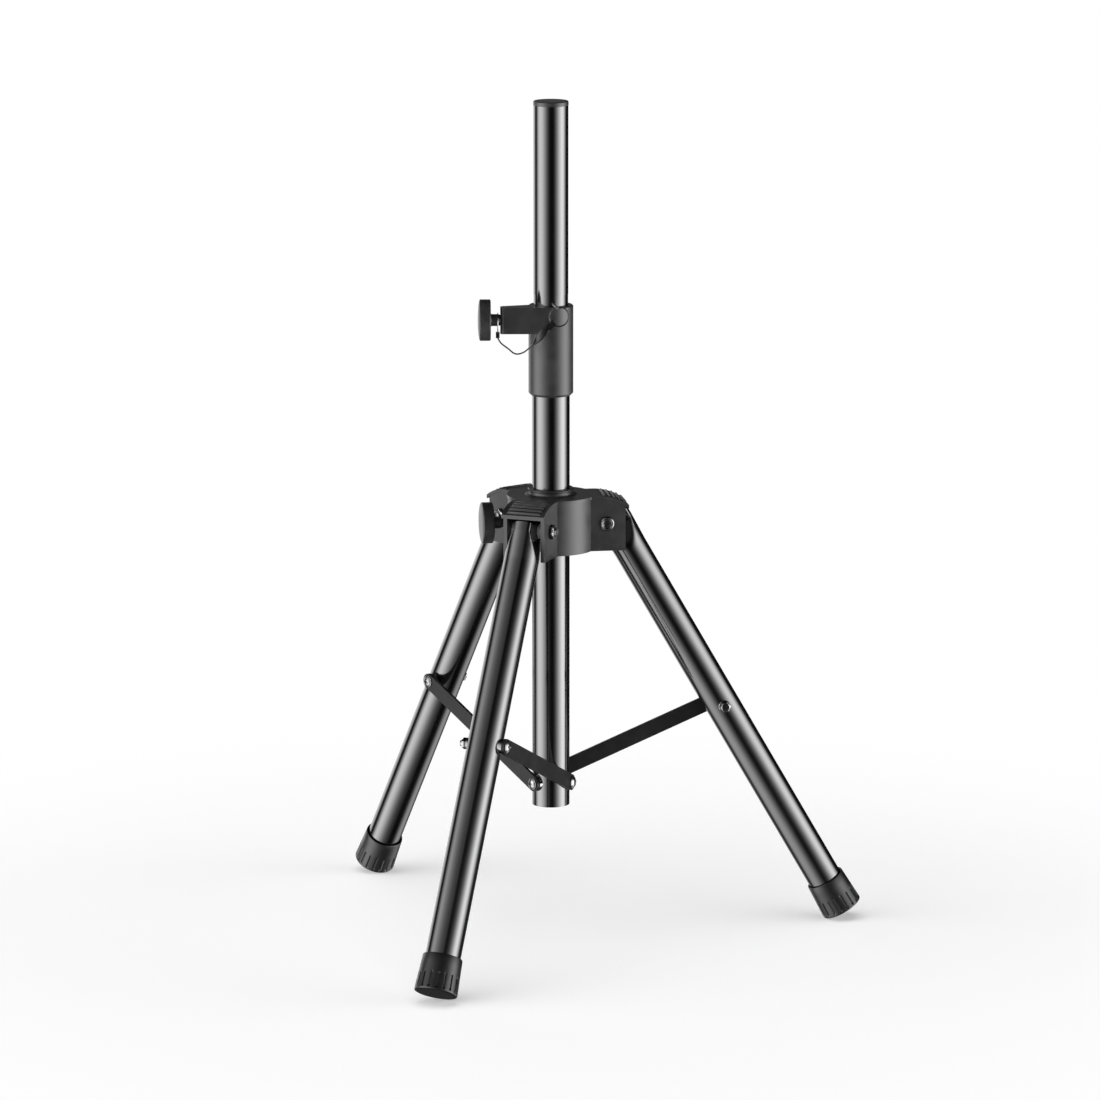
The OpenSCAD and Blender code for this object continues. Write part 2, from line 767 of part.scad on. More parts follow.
module brace_screw(n) {
    color("#8c8e91") bar_frame(n) translate([brace_len, 0, 0]) {
        along_y(brace_t + eps, bolt_r, bar_y);
        translate([0, bar_end_y, 0]) rotate([-90, 0, 0]) dome_head(screw_head_d, screw_head_t);
    }
}

main_tube();
tube_plug();
clamp_collar();
collar_insert_nut();
pivot_screws();
pivot_spacers();
lanyard();
lanyard_crimp();
lanyard_loop();
pole_tube();
pole_cap();
pole_bush();
safety_pin();
pull_ring();
ring_crimp();
collar_shoe();
collar_screw();
collar_knob();
hub_body();
hub_insert_nut();
hinge_bolts();
hinge_nuts();
hinge_bushes();
hub_shoe();
hub_screw();
hub_knob();
leg_tube(1);  // leg_tube_1
leg_foot(1);  // leg_foot_1
brace_bolt(1);  // brace_bolt_1
brace_nut(1);  // brace_nut_1
brace_spacer(1);  // brace_spacer_1
leg_tube(2);  // leg_tube_2
leg_foot(2);  // leg_foot_2
brace_bolt(2);  // brace_bolt_2
brace_nut(2);  // brace_nut_2
brace_spacer(2);  // brace_spacer_2
leg_tube(3);  // leg_tube_3
leg_foot(3);  // leg_foot_3
brace_bolt(3);  // brace_bolt_3
brace_nut(3);  // brace_nut_3
brace_spacer(3);  // brace_spacer_3
brace_bar(1);  // brace_bar_1
brace_screw(1);  // brace_screw_1
brace_bar(2);  // brace_bar_2
brace_screw(2);  // brace_screw_2
brace_bar(3);  // brace_bar_3
brace_screw(3);  // brace_screw_3
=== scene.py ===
# Speaker tripod stand: finishes, fine pieces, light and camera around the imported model
import json
import math

import bmesh
import bpy
from mathutils import Matrix, Vector

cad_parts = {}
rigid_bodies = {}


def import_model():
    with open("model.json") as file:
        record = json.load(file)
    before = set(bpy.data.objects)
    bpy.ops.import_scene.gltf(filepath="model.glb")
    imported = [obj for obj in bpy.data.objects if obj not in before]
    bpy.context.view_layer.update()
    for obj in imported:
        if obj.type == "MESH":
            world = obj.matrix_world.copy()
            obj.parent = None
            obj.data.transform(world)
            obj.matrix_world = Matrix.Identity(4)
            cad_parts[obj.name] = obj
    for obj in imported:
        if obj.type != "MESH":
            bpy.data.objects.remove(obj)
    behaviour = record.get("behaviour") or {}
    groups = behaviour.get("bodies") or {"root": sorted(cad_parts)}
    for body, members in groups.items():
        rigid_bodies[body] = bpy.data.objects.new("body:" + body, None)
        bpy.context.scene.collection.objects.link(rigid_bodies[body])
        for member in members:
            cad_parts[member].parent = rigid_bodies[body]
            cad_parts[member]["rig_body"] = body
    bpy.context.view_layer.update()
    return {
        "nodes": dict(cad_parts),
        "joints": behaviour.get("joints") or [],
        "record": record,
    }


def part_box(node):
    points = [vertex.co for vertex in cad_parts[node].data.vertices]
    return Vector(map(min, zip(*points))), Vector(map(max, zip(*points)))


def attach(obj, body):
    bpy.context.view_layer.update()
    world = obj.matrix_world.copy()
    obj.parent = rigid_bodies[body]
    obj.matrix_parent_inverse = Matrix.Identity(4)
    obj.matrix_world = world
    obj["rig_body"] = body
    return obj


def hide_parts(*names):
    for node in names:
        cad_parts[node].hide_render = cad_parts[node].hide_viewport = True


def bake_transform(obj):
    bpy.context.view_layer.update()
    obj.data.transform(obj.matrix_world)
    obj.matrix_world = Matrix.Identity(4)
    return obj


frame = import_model()
nodes = frame["nodes"]
joints = {joint["name"]: joint for joint in frame["joints"]}
scene = bpy.context.scene
mm = 0.001
print("frame loaded:", len(nodes), "nodes")


# Camera, floor and light

cameraLook = dict(place=(-0.7803, -5.3490, 1.4717), tilt=78.74, turn=-8.3, lens=178.35, shift=-0.0008)


def makeCamera(look):
    data = bpy.data.cameras.new("studioCamera")
    data.lens, data.sensor_width, data.shift_x = look["lens"], 36, look["shift"]
    camera = bpy.data.objects.new("studioCamera", data)
    camera.location = look["place"]
    camera.rotation_euler = (math.radians(look["tilt"]), 0, math.radians(look["turn"]))
    scene.collection.objects.link(camera)
    scene.camera = camera


class Wire:
    # an output of a node: + - * / on wires and numbers add Math nodes, make() adds any other node
    def __init__(self, tree, socket=None):
        self.tree, self.socket = tree, socket

    def make(self, kind, settings=None, inputs=None, out=0):
        node = self.tree.nodes.new(kind)
        for key, value in (settings or {}).items():
            if key == "stops":
                for i, (place, colour) in enumerate(value):
                    stop = node.color_ramp.elements[i] if i < 2 else node.color_ramp.elements.new(place)
                    stop.position, stop.color = place, colour
            else:
                setattr(node, key, value)
        for key, value in (inputs or {}).items():
            if isinstance(value, Wire):
                self.tree.links.new(value.socket, node.inputs[key])
            else:
                node.inputs[key].default_value = value
        return Wire(self.tree, node.outputs[out])

    def math(self, operation, *values):
        return self.make("ShaderNodeMath", {"operation": operation}, dict(enumerate(values)))

    def span(self, low, high, start=0.0, end=1.0, kind="LINEAR"):
        # start below low, end above high
        ends = {"Value": self, "From Min": low, "From Max": high, "To Min": start, "To Max": end}
        return self.make("ShaderNodeMapRange", {"interpolation_type": kind}, ends)

    def step(self, low, high):
        # 0 below low, 1 above high, smooth between
        return self.span(low, high, kind="SMOOTHSTEP")

    def __add__(self, other):
        return self.math("ADD", self, other)

    def __sub__(self, other):
        return self.math("SUBTRACT", self, other)

    def __rsub__(self, other):
        return self.math("SUBTRACT", other, self)

    def __mul__(self, other):
        return self.math("MULTIPLY", self, other)

    __radd__ = __add__
    __rmul__ = __mul__


def addObject(name, data):
    thing = bpy.data.objects.new(name, data)
    scene.collection.objects.link(thing)
    return thing


floorLook = dict(size=80, colour=0.8, glow=0.31, litTo=0.35, whiteFrom=1.0)


def makeFloor(look):
    half = look["size"] / 2
    mesh = bpy.data.meshes.new("studioFloor")
    mesh.from_pydata([(-half, -half, 0), (half, -half, 0), (half, half, 0), (-half, half, 0)], [], [(0, 1, 2, 3)])
    floor = addObject("studioFloor", mesh)
    paper = bpy.data.materials.new("floorPaper")
    paper.use_nodes = True
    tree = paper.node_tree
    tree.nodes.clear()
    start = Wire(tree)
    place = start.make("ShaderNodeTexCoord", out="Object")
    reach = start.make("ShaderNodeVectorMath", {"operation": "LENGTH"}, {0: place}, out="Value")
    lit = start.make("ShaderNodeBsdfDiffuse", None, {"Color": (look["colour"],) * 3 + (1,)})
    glow = start.make("ShaderNodeEmission", None, {"Strength": look["glow"]})
    both = start.make("ShaderNodeAddShader", None, {0: lit, 1: glow})
    white = start.make("ShaderNodeEmission", None, {"Strength": 1.0})
    far = reach.step(look["litTo"], look["whiteFrom"])
    mixed = start.make("ShaderNodeMixShader", None, {0: far, 1: both, 2: white})
    output = tree.nodes.new("ShaderNodeOutputMaterial")
    tree.links.new(mixed.socket, output.inputs["Surface"])
    mesh.materials.append(paper)
    floor.visible_glossy = floor.visible_shadow = False


# Soft panels round the stand. turn is counted from the camera's side towards the left of the picture,
# and front, back and high are the panel's reach as a sine, from where it starts to fade to where it ends
lightLook = dict(
    panels=(
        dict(turn=72, rise=-8, radiance=6.6, front=(0.05, 0.95), back=(0.10, 0.65), high=(0.20, 1.00)),
        dict(turn=-80, rise=-8, radiance=8.8, front=(0.00, 0.92), back=(0.00, 0.65), high=(0.20, 0.72)),
        dict(turn=150, rise=-5, radiance=2.0, front=(0.25, 0.48), back=(0.10, 0.60), high=(0.20, 0.60)),
        dict(turn=-130, rise=-42, radiance=1.7, front=(0.10, 0.60), back=(0.00, 0.50), high=(0.10, 0.50)),
    ),
    sun=dict(strength=1.2, spread=60, lean=12, turn=-30),
    around=0.01,
)


def makeLight(look):
    world = bpy.data.worlds.new("studioRoom")
    scene.world = world
    world.use_nodes = True
    world.node_tree.nodes.clear()
    start = Wire(world.node_tree)
    way = start.make("ShaderNodeTexCoord", out="Generated")

    def along(axis):
        return start.make("ShaderNodeVectorMath", {"operation": "DOT_PRODUCT"}, {0: way, 1: tuple(axis)}, out="Value")

    total = look["around"]
    for panel in look["panels"]:
        bearing = math.radians(panel["turn"] - cameraLook["turn"])
        rise = math.radians(panel["rise"])
        level = Vector((-math.sin(bearing), -math.cos(bearing), 0))
        middle = level * math.cos(rise) + Vector((0, 0, math.sin(rise)))
        front = Vector((math.cos(bearing), -math.sin(bearing), 0)) * math.copysign(1, panel["turn"])
        upper = Vector((0, 0, math.cos(rise))) - level * math.sin(rise)
        sideways, upwards = along(front), along(upper)
        shape = (1 - sideways.step(*panel["front"])) * (1 - (sideways * -1).step(*panel["back"]))
        shape = shape * (1 - upwards.math("ABSOLUTE", upwards).step(*panel["high"])) * along(middle).step(0, 0.15)
        total = shape * panel["radiance"] + total
    seen = start.make("ShaderNodeLightPath", out="Is Camera Ray")
    dim = start.make("ShaderNodeBackground", None, {"Strength": total})
    white = start.make("ShaderNodeBackground", None, {"Strength": 1.0})
    mixed = start.make("ShaderNodeMixShader", None, {0: seen, 1: dim, 2: white})
    output = world.node_tree.nodes.new("ShaderNodeOutputWorld")
    world.node_tree.links.new(mixed.socket, output.inputs["Surface"])
    data = bpy.data.lights.new("roofLight", "SUN")
    data.energy, data.angle = look["sun"]["strength"], math.radians(look["sun"]["spread"])
    sun = addObject("roofLight", data)
    sun.rotation_euler = (math.radians(look["sun"]["lean"]), 0, math.radians(look["sun"]["turn"]))
    sun.visible_glossy = False


makeCamera(cameraLook)
makeFloor(floorLook)
makeLight(lightLook)
scene.view_settings.view_transform = "Standard"
print("camera, floor and light")


# Finishes, one for each slot of the record, and dark_wire. grain and mottle are the sizes of the fine and the
# coarse noise in millimetres, bump is a share of the grain, vary changes the roughness, and dust lightens the specks

finishLook = dict(
    black_gloss_paint=dict(
        colour=0.0015, rough=0.12, ior=1.9, grain=3.0, bump=0.0005, mottle=40, vary=0.012, dust=0.0015),
    black_matte_paint=dict(
        colour=0.004, rough=0.42, ior=1.33, grain=0.5, bump=0.02, mottle=18, vary=0.06, dust=0.003),
    black_plastic=dict(
        colour=0.013, rough=0.38, ior=1.5, grain=0.45, bump=0.025, mottle=14, vary=0.05),
    white_plastic=dict(
        colour=0.62, rough=0.4, ior=1.48, grain=0.6, bump=0.01, mottle=8, vary=0.05),
    brake_rubber=dict(
        colour=0.03, rough=0.65, ior=1.5, grain=0.7, bump=0.05, mottle=5, vary=0.1),
    black_rubber=dict(
        colour=0.003, rough=0.34, ior=1.45, grain=0.6, bump=0.025, mottle=9, vary=0.07, dust=0.003),
    brass=dict(
        colour=(0.58, 0.41, 0.17), rough=0.28, metal=1, grain=0.3, bump=0.01, mottle=3, vary=0.1),
    dark_chrome=dict(
        colour=0.19, rough=0.12, metal=1, grain=0.35, bump=0.003, mottle=4, vary=0.05),
    bright_steel=dict(
        colour=0.55, rough=0.22, metal=1, grain=0.3, bump=0.006, mottle=4, vary=0.07),
    dark_wire=dict(
        colour=0.05, rough=0.32, metal=1, grain=0.3, bump=0.006, mottle=3, vary=0.07, dust=0.002),
    crimp_rubber=dict(
        colour=0.002, rough=0.4, ior=1.25, grain=0.3, bump=0.03, mottle=3, vary=0.06, dust=0.001),
    strap=dict(
        colour=0.002, rough=0.32, ior=1.4, grain=0.25, bump=0.03, mottle=4, vary=0.06, dust=0.003),
)
noiseLook = dict(
    cloudDetail=4, cloudFrom=0.3, cloudTo=0.7, dark=0.8, light=1.3, grainDetail=2, cloudHeight=0.5,
    speckSize=6, speckDetail=6, speckFrom=0.62, speckTo=0.72, speckShare=0.5, speckLight=1.5,
)


def makeFinish(name, look):
    finish = bpy.data.materials.new(name)
    finish.use_nodes = True
    tree = finish.node_tree
    shader = tree.nodes["Principled BSDF"]
    shader.inputs["Metallic"].default_value = look.get("metal", 0)
    shader.inputs["IOR"].default_value = look.get("ior", 1.5)
    start = Wire(tree)
    place = start.make("ShaderNodeTexCoord", out="Object")

    def noise(size, detail):
        return start.make("ShaderNodeTexNoise", None, {"Vector": place, "Scale": 1 / (size * mm), "Detail": detail})

    rule = noiseLook
    cloud = noise(look["mottle"], rule["cloudDetail"])
    grain = noise(look["grain"], rule["grainDetail"])
    speck = noise(look["grain"] * rule["speckSize"], rule["speckDetail"]).step(rule["speckFrom"], rule["speckTo"])
    colour = look["colour"] if isinstance(look["colour"], tuple) else (look["colour"],) * 3
    low = tuple(rule["dark"] * c for c in colour) + (1,)
    dust = look.get("dust", 0.006)
    high = tuple(min(1, rule["light"] * c + dust / 3) for c in colour) + (1,)
    dusty = tuple(min(1, rule["speckLight"] * c + dust) for c in colour) + (1,)
    clouds = cloud.step(rule["cloudFrom"], rule["cloudTo"])
    clouded = start.make("ShaderNodeMix", {"data_type": "RGBA"}, {0: clouds, 6: low, 7: high}, out=2)
    specks = speck * rule["speckShare"]
    dusted = start.make("ShaderNodeMix", {"data_type": "RGBA"}, {0: specks, 6: clouded, 7: dusty}, out=2)
    rough = look["rough"] + (cloud - 0.5) * (2 * look["vary"]) + speck * look["vary"]
    height = grain + cloud * rule["cloudHeight"]
    inputs = {"Strength": 1.0, "Distance": look["bump"] * look["grain"] * mm, "Height": height}
    normal = start.make("ShaderNodeBump", None, inputs)
    tree.links.new(dusted.socket, shader.inputs["Base Color"])
    tree.links.new(rough.socket, shader.inputs["Roughness"])
    tree.links.new(normal.socket, shader.inputs["Normal"])
    return finish


finishes = {name: makeFinish(name, look) for name, look in finishLook.items()}
slots = {row["node"]: row["material_slot"] for row in frame["record"]["subparts"]}
for name, node in nodes.items():
    node.data.materials.clear()
    node.data.materials.append(finishes[slots[name]])
print("finishes:", len(finishes))


def dressPiece(piece, slot, body, *replaced, finish=None):
    piece.data.materials.clear()
    piece.data.materials.append(finishes[finish or slot])
    if body:
        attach(piece, body)
    if replaced:
        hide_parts(*replaced)
    return piece


def smoothMesh(mesh, sharpFrom):
    # smooth, but for edges that bend more than sharpFrom degrees
    mesh.polygons.foreach_set("use_smooth", [True] * len(mesh.polygons))
    mesh.set_sharp_from_angle(angle=math.radians(sharpFrom))


def outwards(mesh):
    work = bmesh.new()
    work.from_mesh(mesh)
    bmesh.ops.recalc_face_normals(work, faces=work.faces)
    work.to_mesh(mesh)
    work.free()


def hardMesh(piece):
    # the evaluated piece as a plain mesh without modifiers
    bpy.context.view_layer.update()
    plain = bpy.data.meshes.new_from_object(piece.evaluated_get(bpy.context.evaluated_depsgraph_get()))
    piece.modifiers.clear()
    piece.data = plain
    return plain


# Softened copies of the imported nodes: broken edges where the mould or the press leaves them round

softLook = dict(
    edges=dict(
        hub_body=0.7, clamp_collar=0.6, pivot_spacers=0.35, tube_plug=0.5, pole_cap=0.3,
        brace_bar=0.3, brace_spacer=0.3, ring_crimp=0.4, lanyard_crimp=0.3),
    flatTo=0.3, bevelFrom=26, sharpFrom=34, segments=3,
)


def softCopy(name, look):
    work = bmesh.new()
    work.from_mesh(nodes[name].data)
    bmesh.ops.remove_doubles(work, verts=work.verts, dist=1e-6)
    bmesh.ops.dissolve_limit(work, angle_limit=math.radians(look["flatTo"]), verts=work.verts, edges=work.edges)
    bmesh.ops.recalc_face_normals(work, faces=work.faces)
    mesh = bpy.data.meshes.new(name + "_soft")
    work.to_mesh(mesh)
    work.free()
    smoothMesh(mesh, 180)
    piece = addObject(name + "_soft", mesh)
    bevel = piece.modifiers.new("edges", "BEVEL")
    bevel.width, bevel.segments = look["edges"][name.rstrip("_123")] * mm, look["segments"]
    bevel.limit_method, bevel.angle_limit = "ANGLE", math.radians(look["bevelFrom"])
    bevel.miter_outer = "MITER_ARC"
    smoothMesh(hardMesh(piece), look["sharpFrom"])
    weighted = piece.modifiers.new("shading", "WEIGHTED_NORMAL")
    weighted.weight, weighted.keep_sharp = 100, True
    hardMesh(piece)
    dressPiece(piece, slots[name], nodes[name]["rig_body"], name)


for name in nodes:
    if name.rstrip("_123") in softLook["edges"]:
        softCopy(name, softLook)
print("softened pieces")


# Lanyard: a flat strap from the wire loop on the knob's neck to the crimp on the pull ring. Near the ring it is a
# wide leaf that turns edge on, and from leafTo to wireFrom along its length it narrows

strapLook = dict(
    start=(-8.2, -39.0, 628.806), stop=(-54.93, -8.37, 615.06),
    afterStart=((-5, 0.5, -5), (-11, 3, -12.5), (-17.5, 6.5, -20), (-24, 11, -26), (-31, 17, -28)),
    beforeStop=((9, -8, -9.5), (3, -2.5, -5)),
    leaf=7.6, wide=3.0, thick=1.2, steps=44, sides=10, edge=0.35, facing=(0.144, 0.99, 0),
    tip=0.62, tipTo=0.12, leafTo=0.2, wireFrom=0.45, twist=8, twisted=86, twistFrom=0.12, twistTo=0.4,
)


def smoothPoint(points, t):
    last = len(points) - 1
    i = min(int(t), last - 1)
    u = t - i
    a, b, c, d = points[max(i - 1, 0)], points[i], points[i + 1], points[min(i + 2, last)]
    return 0.5 * (2 * b + (c - a) * u + (2 * a - 5 * b + 4 * c - d) * u * u + (3 * b - a - 3 * c + d) * u ** 3)


def ease(low, high, value):
    t = min(max((value - low) / (high - low), 0), 1)
    return t * t * (3 - 2 * t)


def makeStrap(look):
    start, stop = Vector(look["start"]), Vector(look["stop"])
    route = [start] + [start + Vector(p) for p in look["afterStart"]]
    route += [stop + Vector(p) for p in look["beforeStop"]] + [stop]
    steps = look["steps"]
    path = [smoothPoint(route, (len(route) - 1) * k / steps) * mm for k in range(steps + 1)]
    path.reverse()
    depth = Vector(look["facing"])
    verts, faces, sides = [], [], look["sides"]
    for k, point in enumerate(path):
        s = 1 - k / steps  # 0 at the pull ring's crimp
        ahead = (path[min(k + 1, steps)] - path[max(k - 1, 0)]).normalized()
        across = ahead.cross(depth).normalized()
        flat = across.cross(ahead).normalized()
        twist = look["twist"] + (look["twisted"] - look["twist"]) * ease(look["twistFrom"], look["twistTo"], s)
        twist = math.radians(twist)
        leaf = look["leaf"] * (look["tip"] + (1 - look["tip"]) * ease(0, look["tipTo"], s))
        wide = (leaf + (look["wide"] - leaf) * ease(look["leafTo"], look["wireFrom"], s)) / 2
        widest = across * math.cos(twist) + flat * math.sin(twist)
        thin = ahead.cross(widest).normalized()
        for m in range(sides):
            turn = 2 * math.pi * m / sides
            x, y = math.cos(turn), math.sin(turn)
            x = math.copysign(abs(x) ** look["edge"], x) if abs(x) > 1e-6 else 0
            verts.append(point + widest * (x * wide * mm) + thin * (y * look["thick"] / 2 * mm))
    for k in range(steps):
        for m in range(sides):
            n = (m + 1) % sides
            faces.append((k * sides + m, (k + 1) * sides + m, (k + 1) * sides + n, k * sides + n))
    faces.append(tuple(range(sides)))
    faces.append(tuple(range((steps + 1) * sides - 1, steps * sides - 1, -1)))
    mesh = bpy.data.meshes.new("lanyardStrap")
    mesh.from_pydata(verts, [], faces)
    outwards(mesh)
    mesh.polygons.foreach_set("use_smooth", [True] * len(mesh.polygons))
    strap = dressPiece(addObject("lanyardStrap", mesh), "strap", None, "lanyard")
    length = sum((b - a).length for a, b in zip(path, path[1:]))
    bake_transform(strap)
    print("lanyard strap:", round(length / mm, 1), "mm long")


makeStrap(strapLook)


# Turned pieces: a profile of (radius, height) in millimetres spun about Z. A third value of 6 makes the
# radius the half-width of a hexagon, and a profile that doesn't start on the axis is a closed loop


def turned(name, profile, steps=72, hollow=None, sharpFrom=38):
    verts, faces, rings = [], [], []
    for point in profile:
        radius, height = point[0], point[1]
        rings.append([])
        for k in range(steps if radius > 1e-6 else 1):
            angle = 2 * math.pi * k / steps
            reach = radius
            if len(point) > 2:
                reach = radius / math.cos((angle + math.pi / 6) % (math.pi / 3) - math.pi / 6)
            x, y = reach * math.cos(angle), reach * math.sin(angle)
            sunk = hollow(x, y, height) if hollow else 0
            rings[-1].append(len(verts))
            verts.append((x * mm, y * mm, (height - sunk) * mm))
    pairs = list(zip(rings, rings[1:]))
    if profile[0][0] > 1e-6:
        pairs.append((rings[-1], rings[0]))
    for low, high in pairs:
        for k in range(steps):
            n = (k + 1) % steps
            corners = [low[k % len(low)], low[n % len(low)], high[n % len(high)], high[k % len(high)]]
            face = [c for i, c in enumerate(corners) if c not in corners[:i]]
            if len(face) > 2:
                faces.append(face)
    mesh = bpy.data.meshes.new(name)
    mesh.from_pydata(verts, [], faces)
    outwards(mesh)
    smoothMesh(mesh, sharpFrom)
    return mesh


def rounded(profile, radius, steps=3):
    # the profile with its inner corners rounded
    result = [profile[0]]
    for before, here, after in zip(profile, profile[1:], profile[2:]):
        a, b, c = (Vector(p[:2]) for p in (before, here, after))
        cut = min(radius, (b - a).length / 2, (c - b).length / 2)
        start, end = b + (a - b).normalized() * cut, b + (c - b).normalized() * cut
        for k in range(steps + 1):
            t = k / steps
            place = start * (1 - t) ** 2 + b * (2 * t * (1 - t)) + end * t * t
            result.append(tuple(place) + tuple(here[2:]))
    return result + [profile[-1]]


def facing(place, ahead, upper=(0, 0, 1)):
    # a frame in metres at place with Z along ahead
    z = Vector(ahead).normalized()
    y = (Vector(upper) - z * z.dot(Vector(upper))).normalized()
    rows = (y.cross(z), y, z)
    return Matrix.Translation(place) @ Matrix([[rows[c][r] for c in range(3)] for r in range(3)]).to_4x4()


# Frames from the joints: an arm points outwards along X, and a leg runs down -Z from its hinge

legShape = dict(
    lean=30, offset=9, length=479, radius=17.5, wall=1.5, roundEnd=22,
    press=9, pressTo=9, flare=29, clear=2, soft=1.6, widen=0.005,
    braceAt=229, footAt=484, around=97, along=110, sharpFrom=60,
)


def legFrame(n):
    joint = joints[f"leg_fold_{n}"]
    along = Vector(joint["axis"])
    out = along.cross(Vector((0, 0, 1)))
    lean = math.radians(legShape["lean"])
    x = out * math.cos(lean) + Vector((0, 0, math.sin(lean)))
    z = Vector((0, 0, math.cos(lean))) - out * math.sin(lean)
    turn = Matrix([[axis[r] for axis in (x, along, z)] for r in range(3)]).to_4x4()
    return Matrix.Translation(joint["pos_m"]) @ turn


# Geometry Nodes: each tree has named inputs and ends in Realize Instances and Set Material


def startTree(name, **inputs):
    tree = bpy.data.node_groups.new(name, "GeometryNodeTree")
    tree.interface.new_socket("Geometry", in_out="INPUT", socket_type="NodeSocketGeometry")
    for label, kind in inputs.items():
        tree.interface.new_socket(label, in_out="INPUT", socket_type="NodeSocket" + kind)
    tree.interface.new_socket("Geometry", in_out="OUTPUT", socket_type="NodeSocketGeometry")
    entry = tree.nodes.new("NodeGroupInput")
    return tree, {socket.name: Wire(tree, socket) for socket in entry.outputs if socket.name}


def endTree(tree, geometry, finish):
    real = geometry.make("GeometryNodeRealizeInstances", None, {"Geometry": geometry})
    dressed = geometry.make("GeometryNodeSetMaterial", None, {"Geometry": real, "Material": finish})
    tree.links.new(dressed.socket, tree.nodes.new("NodeGroupOutput").inputs[0])
    return tree


def grow(name, mesh, tree, frameOf=None, wall=0, sharpFrom=38, **values):
    # what the tree makes of the mesh, as a plain mesh in its place
    piece = addObject(name, mesh)
    modifier = piece.modifiers.new(name, "NODES")
    modifier.node_group = tree
    for item in tree.interface.items_tree:
        if item.in_out == "INPUT" and item.name in values:
            value = values[item.name]
            modifier[item.identifier] = float(value) if item.socket_type == "NodeSocketFloat" else value
    if wall:
        shell = piece.modifiers.new("wall", "SOLIDIFY")
        shell.thickness, shell.offset = wall * mm, -1
    plain = hardMesh(piece)
    if frameOf:
        plain.transform(frameOf)
    smoothMesh(plain, sharpFrom)
    return piece


def makeSetOut():
    # one piece at each point, turned by the point's own turn
    tree, at = startTree("setOut", Pattern="Object", Finish="Material")
    pattern = at["Pattern"].make("GeometryNodeObjectInfo", None, {"Object": at["Pattern"]}, out="Geometry")
    turn = pattern.make("GeometryNodeInputNamedAttribute", {"data_type": "FLOAT_VECTOR"}, {"Name": "turn"})
    rotation = turn.make("FunctionNodeEulerToRotation", None, {0: turn})
    inputs = {"Points": at["Geometry"], "Instance": pattern, "Rotation": rotation}
    return endTree(tree, pattern.make("GeometryNodeInstanceOnPoints", None, inputs), at["Finish"])


def makePressedTube():
    # a round tube whose upper end is pressed flat, and rounded about the hinge bolt
    tree, at = startTree(
        "pressedTube", Around="Int", Along="Int", Radius="Float", Offset="Float", Length="Float", RoundEnd="Float",
        Press="Float", PressTo="Float", Flare="Float", Clear="Float", Soft="Float", Widen="Float", Finish="Material")
    sizes = {"Size X": 1.0, "Size Y": 1.0, "Vertices X": at["Around"], "Vertices Y": at["Along"]}
    grid = at["Radius"].make("GeometryNodeMeshGrid", None, sizes)
    place = grid.make("GeometryNodeInputPosition")
    across = place.make("ShaderNodeSeparateXYZ", None, {0: place}, out=0)
    along = place.make("ShaderNodeSeparateXYZ", None, {0: place}, out=1)
    angle = (across + 0.5) * (2 * math.pi)
    left = 0.5 - along
    height = 1 - left * left  # rows lie closer together towards the pressed end
    x = at["Offset"] + angle.math("COSINE", angle) * at["Radius"]
    y = angle.math("SINE", angle) * at["Radius"]
    roundEnd = at["RoundEnd"] * at["RoundEnd"] - x * x
    top = roundEnd.math("SQRT", roundEnd.math("MAXIMUM", roundEnd, 0.0))
    z = height * (top + at["Length"]) - at["Length"]
    free = at["Radius"] + at["Clear"]
    half = (z * -1).span(at["PressTo"], at["PressTo"] + at["Flare"], at["Press"], free)
    flat = y.math("SMOOTH_MIN", y.math("ABSOLUTE", y), half, at["Soft"])
    y = y.math("SIGN", y) * flat
    x = x + (x - at["Offset"]) * (free - half) * at["Widen"]
    position = x.make("ShaderNodeCombineXYZ", None, {0: x * mm, 1: y * mm, 2: z * mm})
    moved = grid.make("GeometryNodeSetPosition", None, {"Geometry": grid, "Position": position})
    closed = moved.make("GeometryNodeMergeByDistance", None, {"Geometry": moved, "Distance": 0.01 * mm})
    return endTree(tree, closed, at["Finish"])


def makeGripFoot():
    # grooves pressed into the outside of a turned foot
    tree, at = startTree(
        "gripFoot", Grooves="Float", Wide="Float", Deep="Float", Soft="Float", Low="Float", High="Float",
        Inner="Float", Finish="Material")
    place = at["Deep"].make("GeometryNodeInputPosition")
    x, y, z = (place.make("ShaderNodeSeparateXYZ", None, {0: place}, out=k) * (1 / mm) for k in range(3))
    reach = x.math("SQRT", x * x + y * y)
    pitch = x.math("ARCTAN2", y, x) * at["Grooves"] * (0.5 / math.pi)
    aside = pitch.math("ABSOLUTE", pitch.math("FRACT", pitch + 0.5) - 0.5)
    arc = aside * reach * (2 * math.pi)
    arc = arc.math("DIVIDE", arc, at["Grooves"])
    # the upper end of a groove is round
    over = z.math("MAXIMUM", z - at["High"], 0.0)
    arc = arc.math("SQRT", arc * arc + over * over)
    mask = 1 - arc.step(at["Wide"] * 0.5 - at["Soft"], at["Wide"] * 0.5 + at["Soft"])
    mask = mask * z.step(at["Low"] - at["Soft"], at["Low"] + at["Soft"])
    mask = mask * reach.math("GREATER_THAN", reach, at["Inner"]) * at["Deep"]
    scale = 1 - mask.math("DIVIDE", mask, reach)
    position = x.make("ShaderNodeCombineXYZ", None, {0: x * scale * mm, 1: y * scale * mm, 2: z * mm})
    moved = place.make("GeometryNodeSetPosition", None, {"Geometry": at["Geometry"], "Position": position})
    return endTree(tree, moved, at["Finish"])


def makeWireRing():
    # a closed ring of round wire
    tree, at = startTree("wireRing", Ring="Float", Wire="Float", Finish="Material")
    ring = at["Ring"].make("GeometryNodeCurvePrimitiveCircle", None, {"Resolution": 96, "Radius": at["Ring"]})
    wire = ring.make("GeometryNodeCurvePrimitiveCircle", None, {"Resolution": 16, "Radius": at["Wire"]})
    swept = ring.make("GeometryNodeCurveToMesh", None, {"Curve": ring, "Profile Curve": wire})
    return endTree(tree, swept, at["Finish"])


